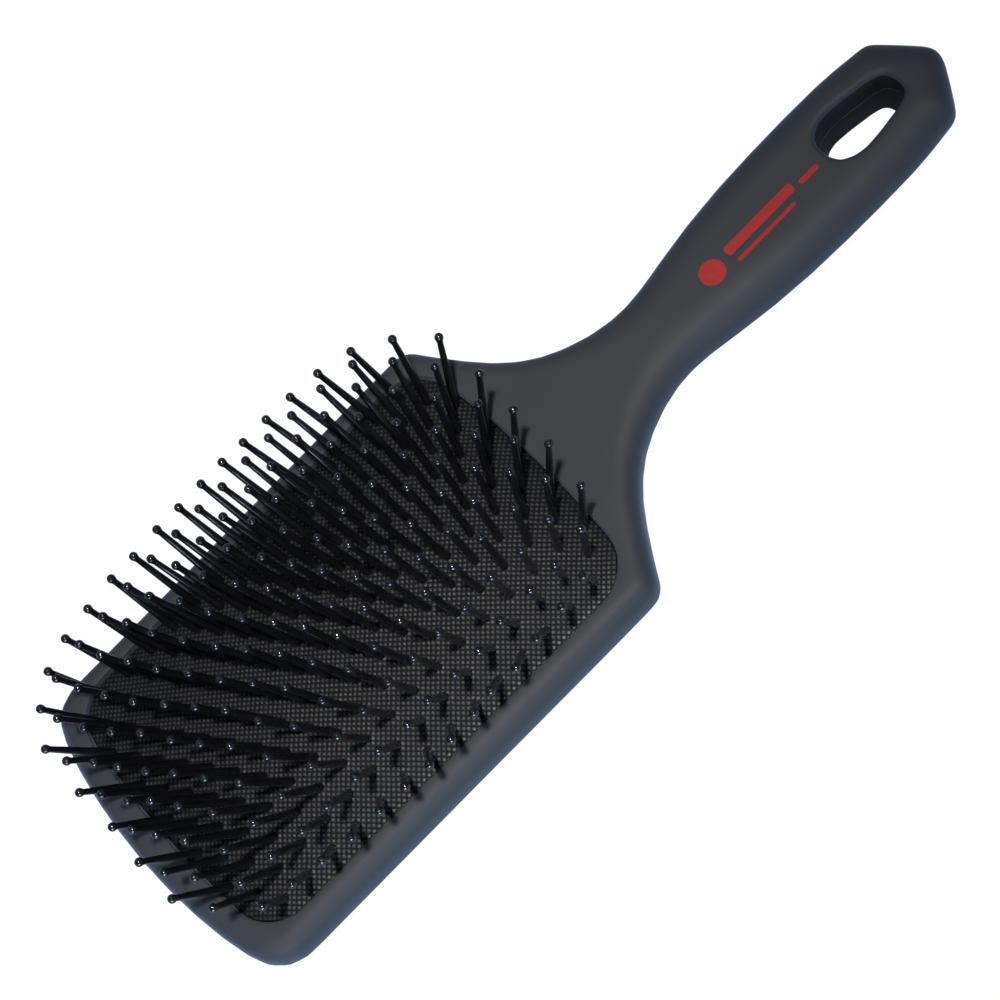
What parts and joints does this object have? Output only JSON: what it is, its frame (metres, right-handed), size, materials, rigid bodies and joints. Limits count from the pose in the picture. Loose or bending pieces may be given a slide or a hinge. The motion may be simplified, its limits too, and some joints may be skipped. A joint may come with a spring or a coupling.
{
  "type": "paddle brush",
  "caption": "Rectangular paddle hair brush with a domed rubber cushion, ball-tipped nylon pins and a waisted flat handle with a hanging hole",
  "frame": {"origin": "on the flat back of the head, under the middle of the cushion", "axes": "+Z the way the pins point, +Y from the head to the end of the handle, +X to the right; the brush lies on its back"},
  "size_m": [0.0872, 0.2504, 0.0361],
  "materials": {
    "shell_front": "soft-touch charcoal plastic, satin",
    "shell_back": "soft-touch charcoal plastic, satin",
    "rubber": "black rubber with a fine grid of raised dots",
    "ring": "black moulded plastic",
    "pin": "glossy black nylon"
  },
  "bodies": {
    "brush_body": {"front_shell": "shell_front", "back_shell": "shell_back", "cushion_retainer": "ring", "cushion": "rubber"},
    "pins_07_mid": {"pin_strip_07_mid": "pin"},
    "pins_01_toe": {"pin_strip_01_toe": "pin"},
    "pins_01_mid": {"pin_strip_01_mid": "pin"},
    "pins_01_heel": {"pin_strip_01_heel": "pin"},
    "pins_02_toe": {"pin_strip_02_toe": "pin"},
    "pins_02_mid": {"pin_strip_02_mid": "pin"},
    "pins_02_heel": {"pin_strip_02_heel": "pin"},
    "pins_03_toe": {"pin_strip_03_toe": "pin"},
    "pins_03_mid": {"pin_strip_03_mid": "pin"},
    "pins_03_heel": {"pin_strip_03_heel": "pin"},
    "pins_04_toe": {"pin_strip_04_toe": "pin"},
    "pins_04_mid": {"pin_strip_04_mid": "pin"},
    "pins_04_heel": {"pin_strip_04_heel": "pin"},
    "pins_05_toe": {"pin_strip_05_toe": "pin"},
    "pins_05_mid": {"pin_strip_05_mid": "pin"},
    "pins_05_heel": {"pin_strip_05_heel": "pin"},
    "pins_06_toe": {"pin_strip_06_toe": "pin"},
    "pins_06_mid": {"pin_strip_06_mid": "pin"},
    "pins_06_heel": {"pin_strip_06_heel": "pin"},
    "pins_07_toe": {"pin_strip_07_toe": "pin"},
    "pins_07_heel": {"pin_strip_07_heel": "pin"},
    "pins_08_toe": {"pin_strip_08_toe": "pin"},
    "pins_08_mid": {"pin_strip_08_mid": "pin"},
    "pins_08_heel": {"pin_strip_08_heel": "pin"},
    "pins_09_toe": {"pin_strip_09_toe": "pin"},
    "pins_09_mid": {"pin_strip_09_mid": "pin"},
    "pins_09_heel": {"pin_strip_09_heel": "pin"},
    "pins_10_toe": {"pin_strip_10_toe": "pin"},
    "pins_10_mid": {"pin_strip_10_mid": "pin"},
    "pins_10_heel": {"pin_strip_10_heel": "pin"},
    "pins_11_toe": {"pin_strip_11_toe": "pin"},
    "pins_11_mid": {"pin_strip_11_mid": "pin"},
    "pins_11_heel": {"pin_strip_11_heel": "pin"},
    "pins_12_toe": {"pin_strip_12_toe": "pin"},
    "pins_12_mid": {"pin_strip_12_mid": "pin"},
    "pins_12_heel": {"pin_strip_12_heel": "pin"},
    "pins_13_toe": {"pin_strip_13_toe": "pin"},
    "pins_13_mid": {"pin_strip_13_mid": "pin"},
    "pins_13_heel": {"pin_strip_13_heel": "pin"}
  },
  "joints": [
    {"name": "cushion_press", "type": "slide", "parent": "brush_body", "child": "pins_07_mid", "axis": [0, 0, -1], "range_m": [0, 0.003], "stiffness_N_per_m": 400, "deforming": ["cushion"]},
    {"name": "press_01_toe", "type": "slide", "parent": "brush_body", "child": "pins_01_toe", "axis": [0, 0, -1], "range_m": [0, 0.000604]},
    {"name": "press_01_mid", "type": "slide", "parent": "brush_body", "child": "pins_01_mid", "axis": [0, 0, -1], "range_m": [0, 0.000721]},
    {"name": "press_01_heel", "type": "slide", "parent": "brush_body", "child": "pins_01_heel", "axis": [0, 0, -1], "range_m": [0, 0.000604]},
    {"name": "press_02_toe", "type": "slide", "parent": "brush_body", "child": "pins_02_toe", "axis": [0, 0, -1], "range_m": [0, 0.00114]},
    {"name": "press_02_mid", "type": "slide", "parent": "brush_body", "child": "pins_02_mid", "axis": [0, 0, -1], "range_m": [0, 0.00148]},
    {"name": "press_02_heel", "type": "slide", "parent": "brush_body", "child": "pins_02_heel", "axis": [0, 0, -1], "range_m": [0, 0.00114]},
    {"name": "press_03_toe", "type": "slide", "parent": "brush_body", "child": "pins_03_toe", "axis": [0, 0, -1], "range_m": [0, 0.00141]},
    {"name": "press_03_mid", "type": "slide", "parent": "brush_body", "child": "pins_03_mid", "axis": [0, 0, -1], "range_m": [0, 0.00207]},
    {"name": "press_03_heel", "type": "slide", "parent": "brush_body", "child": "pins_03_heel", "axis": [0, 0, -1], "range_m": [0, 0.00141]},
    {"name": "press_04_toe", "type": "slide", "parent": "brush_body", "child": "pins_04_toe", "axis": [0, 0, -1], "range_m": [0, 0.00194]},
    {"name": "press_04_mid", "type": "slide", "parent": "brush_body", "child": "pins_04_mid", "axis": [0, 0, -1], "range_m": [0, 0.00252]},
    {"name": "press_04_heel", "type": "slide", "parent": "brush_body", "child": "pins_04_heel", "axis": [0, 0, -1], "range_m": [0, 0.00194]},
    {"name": "press_05_toe", "type": "slide", "parent": "brush_body", "child": "pins_05_toe", "axis": [0, 0, -1], "range_m": [0, 0.00192]},
    {"name": "press_05_mid", "type": "slide", "parent": "brush_body", "child": "pins_05_mid", "axis": [0, 0, -1], "range_m": [0, 0.00281]},
    {"name": "press_05_heel", "type": "slide", "parent": "brush_body", "child": "pins_05_heel", "axis": [0, 0, -1], "range_m": [0, 0.00192]},
    {"name": "press_06_toe", "type": "slide", "parent": "brush_body", "child": "pins_06_toe", "axis": [0, 0, -1], "range_m": [0, 0.00229]},
    {"name": "press_06_mid", "type": "slide", "parent": "brush_body", "child": "pins_06_mid", "axis": [0, 0, -1], "range_m": [0, 0.00297]},
    {"name": "press_06_heel", "type": "slide", "parent": "brush_body", "child": "pins_06_heel", "axis": [0, 0, -1], "range_m": [0, 0.00229]},
    {"name": "press_07_toe", "type": "slide", "parent": "brush_body", "child": "pins_07_toe", "axis": [0, 0, -1], "range_m": [0, 0.00205]},
    {"name": "press_07_heel", "type": "slide", "parent": "brush_body", "child": "pins_07_heel", "axis": [0, 0, -1], "range_m": [0, 0.00205]},
    {"name": "press_08_toe", "type": "slide", "parent": "brush_body", "child": "pins_08_toe", "axis": [0, 0, -1], "range_m": [0, 0.00229]},
    {"name": "press_08_mid", "type": "slide", "parent": "brush_body", "child": "pins_08_mid", "axis": [0, 0, -1], "range_m": [0, 0.00297]},
    {"name": "press_08_heel", "type": "slide", "parent": "brush_body", "child": "pins_08_heel", "axis": [0, 0, -1], "range_m": [0, 0.00229]},
    {"name": "press_09_toe", "type": "slide", "parent": "brush_body", "child": "pins_09_toe", "axis": [0, 0, -1], "range_m": [0, 0.00192]},
    {"name": "press_09_mid", "type": "slide", "parent": "brush_body", "child": "pins_09_mid", "axis": [0, 0, -1], "range_m": [0, 0.00281]},
    {"name": "press_09_heel", "type": "slide", "parent": "brush_body", "child": "pins_09_heel", "axis": [0, 0, -1], "range_m": [0, 0.00192]},
    {"name": "press_10_toe", "type": "slide", "parent": "brush_body", "child": "pins_10_toe", "axis": [0, 0, -1], "range_m": [0, 0.00194]},
    {"name": "press_10_mid", "type": "slide", "parent": "brush_body", "child": "pins_10_mid", "axis": [0, 0, -1], "range_m": [0, 0.00252]},
    {"name": "press_10_heel", "type": "slide", "parent": "brush_body", "child": "pins_10_heel", "axis": [0, 0, -1], "range_m": [0, 0.00194]},
    {"name": "press_11_toe", "type": "slide", "parent": "brush_body", "child": "pins_11_toe", "axis": [0, 0, -1], "range_m": [0, 0.00141]},
    {"name": "press_11_mid", "type": "slide", "parent": "brush_body", "child": "pins_11_mid", "axis": [0, 0, -1], "range_m": [0, 0.00207]},
    {"name": "press_11_heel", "type": "slide", "parent": "brush_body", "child": "pins_11_heel", "axis": [0, 0, -1], "range_m": [0, 0.00141]},
    {"name": "press_12_toe", "type": "slide", "parent": "brush_body", "child": "pins_12_toe", "axis": [0, 0, -1], "range_m": [0, 0.00114]},
    {"name": "press_12_mid", "type": "slide", "parent": "brush_body", "child": "pins_12_mid", "axis": [0, 0, -1], "range_m": [0, 0.00148]},
    {"name": "press_12_heel", "type": "slide", "parent": "brush_body", "child": "pins_12_heel", "axis": [0, 0, -1], "range_m": [0, 0.00114]},
    {"name": "press_13_toe", "type": "slide", "parent": "brush_body", "child": "pins_13_toe", "axis": [0, 0, -1], "range_m": [0, 0.000604]},
    {"name": "press_13_mid", "type": "slide", "parent": "brush_body", "child": "pins_13_mid", "axis": [0, 0, -1], "range_m": [0, 0.000721]},
    {"name": "press_13_heel", "type": "slide", "parent": "brush_body", "child": "pins_13_heel", "axis": [0, 0, -1], "range_m": [0, 0.000604]}
  ],
  "couplings": [
    {"joint": "press_01_toe", "follows": "cushion_press", "ratio": 0.198},
    {"joint": "press_01_mid", "follows": "cushion_press", "ratio": 0.2369},
    {"joint": "press_01_heel", "follows": "cushion_press", "ratio": 0.198},
    {"joint": "press_02_toe", "follows": "cushion_press", "ratio": 0.3762},
    {"joint": "press_02_mid", "follows": "cushion_press", "ratio": 0.4896},
    {"joint": "press_02_heel", "follows": "cushion_press", "ratio": 0.3762},
    {"joint": "press_03_toe", "follows": "cushion_press", "ratio": 0.4681},
    {"joint": "press_03_mid", "follows": "cushion_press", "ratio": 0.687},
    {"joint": "press_03_heel", "follows": "cushion_press", "ratio": 0.4681},
    {"joint": "press_04_toe", "follows": "cushion_press", "ratio": 0.642},
    {"joint": "press_04_mid", "follows": "cushion_press", "ratio": 0.8354},
    {"joint": "press_04_heel", "follows": "cushion_press", "ratio": 0.642},
    {"joint": "press_05_toe", "follows": "cushion_press", "ratio": 0.635},
    {"joint": "press_05_mid", "follows": "cushion_press", "ratio": 0.9319},
    {"joint": "press_05_heel", "follows": "cushion_press", "ratio": 0.635},
    {"joint": "press_06_toe", "follows": "cushion_press", "ratio": 0.7585},
    {"joint": "press_06_mid", "follows": "cushion_press", "ratio": 0.9871},
    {"joint": "press_06_heel", "follows": "cushion_press", "ratio": 0.7585},
    {"joint": "press_07_toe", "follows": "cushion_press", "ratio": 0.6814},
    {"joint": "press_07_heel", "follows": "cushion_press", "ratio": 0.6814},
    {"joint": "press_08_toe", "follows": "cushion_press", "ratio": 0.7585},
    {"joint": "press_08_mid", "follows": "cushion_press", "ratio": 0.9871},
    {"joint": "press_08_heel", "follows": "cushion_press", "ratio": 0.7585},
    {"joint": "press_09_toe", "follows": "cushion_press", "ratio": 0.635},
    {"joint": "press_09_mid", "follows": "cushion_press", "ratio": 0.9319},
    {"joint": "press_09_heel", "follows": "cushion_press", "ratio": 0.635},
    {"joint": "press_10_toe", "follows": "cushion_press", "ratio": 0.642},
    {"joint": "press_10_mid", "follows": "cushion_press", "ratio": 0.8354},
    {"joint": "press_10_heel", "follows": "cushion_press", "ratio": 0.642},
    {"joint": "press_11_toe", "follows": "cushion_press", "ratio": 0.4681},
    {"joint": "press_11_mid", "follows": "cushion_press", "ratio": 0.687},
    {"joint": "press_11_heel", "follows": "cushion_press", "ratio": 0.4681},
    {"joint": "press_12_toe", "follows": "cushion_press", "ratio": 0.3762},
    {"joint": "press_12_mid", "follows": "cushion_press", "ratio": 0.4896},
    {"joint": "press_12_heel", "follows": "cushion_press", "ratio": 0.3762},
    {"joint": "press_13_toe", "follows": "cushion_press", "ratio": 0.198},
    {"joint": "press_13_mid", "follows": "cushion_press", "ratio": 0.2369},
    {"joint": "press_13_heel", "follows": "cushion_press", "ratio": 0.198}
  ]
}
